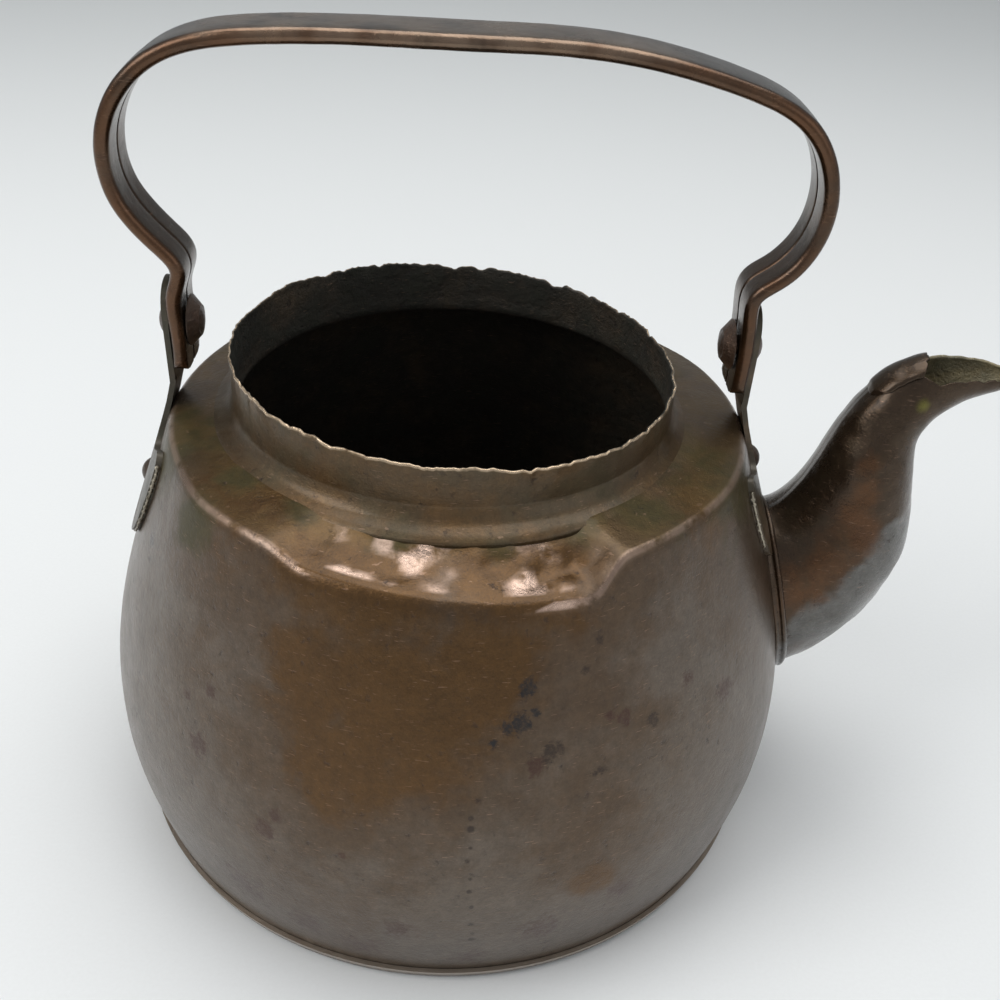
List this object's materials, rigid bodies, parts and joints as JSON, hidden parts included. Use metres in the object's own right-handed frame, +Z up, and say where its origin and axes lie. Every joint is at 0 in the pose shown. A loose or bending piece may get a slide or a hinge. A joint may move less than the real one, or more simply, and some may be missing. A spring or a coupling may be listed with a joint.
{
  "type": "tea kettle",
  "caption": "Open-necked copper tea kettle with a swan-neck spout and a strap bail that swings on two riveted ears.",
  "frame": {"origin": "centre of the base, on the surface that the kettle stands on", "axes": "+Z up along the vessel's axis, +X towards the spout, +Y away from the viewer of the picture"},
  "size_m": [0.2519, 0.2, 0.226],
  "materials": {
    "copper_body": "aged hammered copper with a brown patina",
    "copper_bail": "handled copper strap, brown and satin",
    "copper_spout": "aged copper with a brown and grey patina",
    "copper_ears": "dark copper with old braze",
    "copper_rivets": "hammered copper rivets"
  },
  "bodies": {
    "vessel": {"body_shell": "copper_body", "bottom_pan": "copper_body", "neck_collar": "copper_body", "spout_collar": "copper_spout", "spout_shell": "copper_spout", "spout_top_strip": "copper_spout", "right_ear": "copper_ears", "left_ear": "copper_ears", "right_ear_rivet": "copper_rivets", "left_ear_rivet": "copper_rivets", "right_ear_rove": "copper_rivets", "left_ear_rove": "copper_rivets", "right_pivot_rivet": "copper_rivets", "left_pivot_rivet": "copper_rivets", "right_pivot_washer": "copper_rivets", "left_pivot_washer": "copper_rivets"},
    "bail": {"bail": "copper_bail"}
  },
  "joints": [
    {"name": "bail_swing", "type": "hinge", "parent": "vessel", "child": "bail", "pos_m": [0, 0, 0.147], "axis": [1, 0, 0], "range_deg": [-99, 99]}
  ]
}
